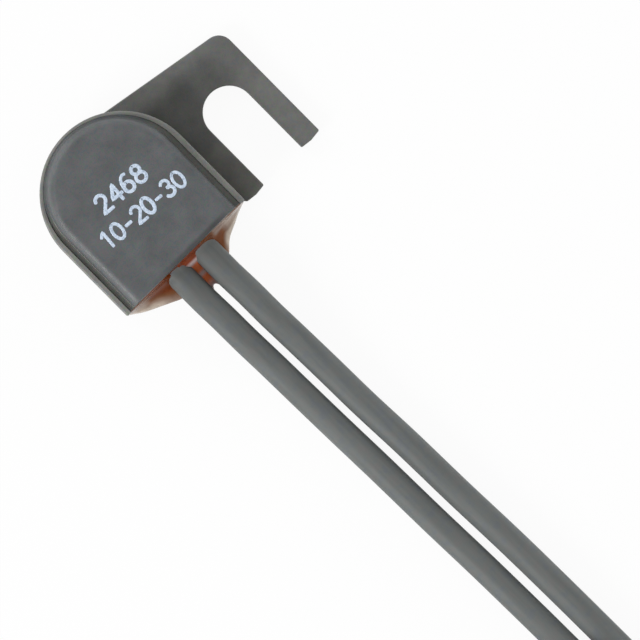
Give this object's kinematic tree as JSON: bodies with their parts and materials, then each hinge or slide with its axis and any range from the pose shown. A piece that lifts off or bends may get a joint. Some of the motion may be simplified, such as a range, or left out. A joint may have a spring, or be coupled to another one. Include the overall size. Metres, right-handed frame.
{
  "type": "bimetal disc thermostat",
  "caption": "Flat sealed snap-disc temperature switch with a slotted mounting ear and insulated leads sealed in resin.",
  "frame": {"origin": "on the mounting face, below the centre of the case's round end", "axes": "+Z out of the printed face, +X from the case to the slotted ear, -Y along the leads"},
  "size_m": [0.0409, 0.0877, 0.006],
  "materials": {
    "case": "moulded thermoset, fine satin grain, bluish dark grey",
    "cover": "moulded, fine satin grain, bluish grey, printed white",
    "resin": "glossy red-brown potting resin, paler where it is thin",
    "dam": "matte brick red silicone",
    "insulation": "smooth satin grey insulation",
    "strand": "tinned copper strands",
    "terminal": "stamped brass, brushed",
    "blade": "copper alloy spring strip",
    "contact": "silver contact, satin",
    "rivet": "plain brass rivet",
    "bimetal": "rolled bimetal strip",
    "guide": "brown phenolic",
    "pin": "ivory ceramic"
  },
  "bodies": {
    "housing": {"case_base": "case", "case_cover": "cover", "resin_seal": "resin", "bimetal_disc": "bimetal", "pin_guide": "guide", "arm_terminal": "terminal", "fixed_terminal": "terminal", "fixed_contact": "contact", "blade_rivet": "rivet", "front_rivet": "rivet", "rear_rivet": "rivet", "seal_dam": "dam", "left_strands": "strand", "right_strands": "strand", "left_lead": "insulation", "right_lead": "insulation", "lead_coil": "insulation"},
    "pin": {"transfer_pin": "pin"},
    "blade": {"contact_blade": "blade", "moving_contact": "contact"}
  },
  "joints": [
    {"name": "blade_flex", "type": "hinge", "parent": "housing", "child": "blade", "pos_m": [0, -0.00105, 0.00272], "axis": [1, 0, 0], "range_deg": [0, 7], "stiffness_Nm_per_rad": 0.0005, "deforming": ["contact_blade"]},
    {"name": "pin_lift", "type": "slide", "parent": "housing", "child": "pin", "axis": [0, 0, 1], "range_m": [0, 0.00028], "deforming": ["bimetal_disc"]}
  ],
  "couplings": [
    {"joint": "pin_lift", "follows": "blade_flex", "m_per_rad": 0.00229}
  ]
}
